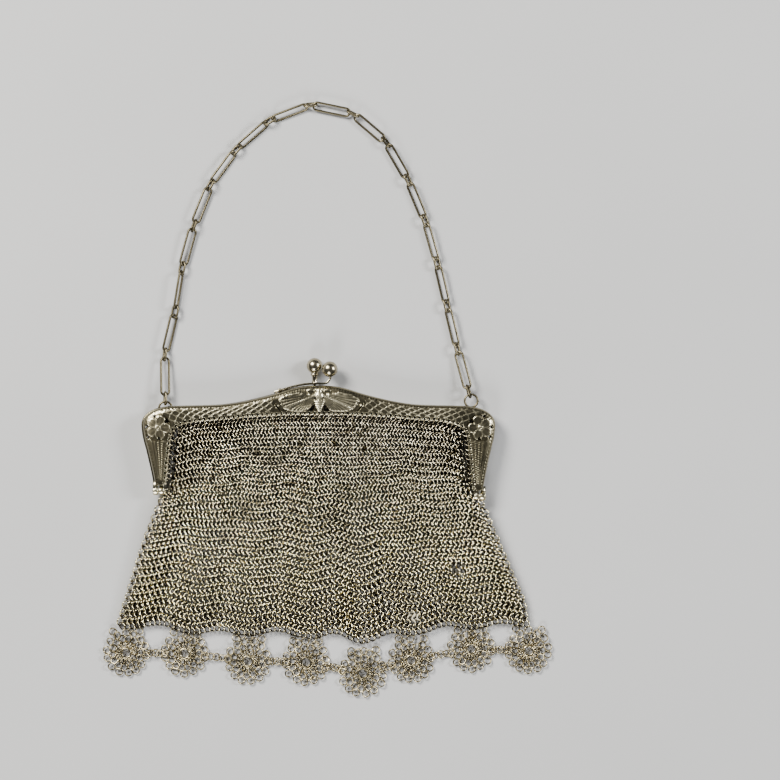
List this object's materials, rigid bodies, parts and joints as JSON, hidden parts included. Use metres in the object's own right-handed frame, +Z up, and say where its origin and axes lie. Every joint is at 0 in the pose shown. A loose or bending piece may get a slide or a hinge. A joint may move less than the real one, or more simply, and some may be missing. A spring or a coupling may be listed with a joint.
{
  "type": "metal mesh purse",
  "caption": "Vintage ring-mesh purse with a stamped hinged metal frame, kiss-lock ball clasp, carrying chain and a fringe of ring rosettes, lying flat.",
  "frame": {"origin": "middle of the purse's outline, on the surface that it lies on", "axes": "+Z up out of the surface, towards the viewer; +Y from the fringe towards the carrying chain; +X to the right of someone looking down at the front"},
  "size_m": [0.178, 0.2374, 0.0092],
  "materials": {
    "frame_metal": "aged silver-plated stamping, olive tarnish in the recesses, bright worn ridges",
    "clasp_metal": "polished silver-coloured balls with fine scratches",
    "mesh_metal": "fine wire rings, yellow-grey tarnish, darker between the rings",
    "chain_metal": "drawn wire links, dull grey tarnish with bright edges"
  },
  "bodies": {
    "root": {"front_frame": "frame_metal", "back_frame": "frame_metal", "clasp_arm_ball": "clasp_metal", "clasp_post_ball": "clasp_metal", "hinge_pin_left": "frame_metal", "hinge_pin_right": "frame_metal", "mesh_pouch": "mesh_metal", "chain_small_link_1": "chain_metal", "chain_small_link_2": "chain_metal", "chain_small_link_3": "chain_metal", "chain_small_link_4": "chain_metal", "chain_small_link_5": "chain_metal", "chain_small_link_6": "chain_metal", "chain_small_link_7": "chain_metal", "chain_small_link_8": "chain_metal", "chain_small_link_9": "chain_metal", "chain_small_link_10": "chain_metal", "chain_small_link_11": "chain_metal", "chain_small_link_12": "chain_metal", "chain_small_link_13": "chain_metal", "chain_small_link_14": "chain_metal", "chain_small_link_15": "chain_metal", "chain_small_link_16": "chain_metal", "chain_small_link_17": "chain_metal", "chain_long_link_1": "chain_metal", "chain_long_link_2": "chain_metal", "chain_long_link_3": "chain_metal", "chain_long_link_4": "chain_metal", "chain_long_link_5": "chain_metal", "chain_long_link_6": "chain_metal", "chain_long_link_7": "chain_metal", "chain_long_link_8": "chain_metal", "chain_long_link_9": "chain_metal", "chain_long_link_10": "chain_metal", "chain_long_link_11": "chain_metal", "chain_long_link_12": "chain_metal", "chain_long_link_13": "chain_metal", "chain_long_link_14": "chain_metal", "chain_long_link_15": "chain_metal", "chain_long_link_16": "chain_metal", "fringe_rosette_1": "mesh_metal", "fringe_rosette_2": "mesh_metal", "fringe_rosette_3": "mesh_metal", "fringe_rosette_4": "mesh_metal", "fringe_rosette_5": "mesh_metal", "fringe_rosette_6": "mesh_metal", "fringe_rosette_7": "mesh_metal", "fringe_rosette_8": "mesh_metal", "fringe_link_1": "mesh_metal", "fringe_link_2": "mesh_metal", "fringe_link_3": "mesh_metal", "fringe_link_4": "mesh_metal", "fringe_link_5": "mesh_metal", "fringe_link_6": "mesh_metal", "fringe_link_7": "mesh_metal"}
  },
  "joints": []
}
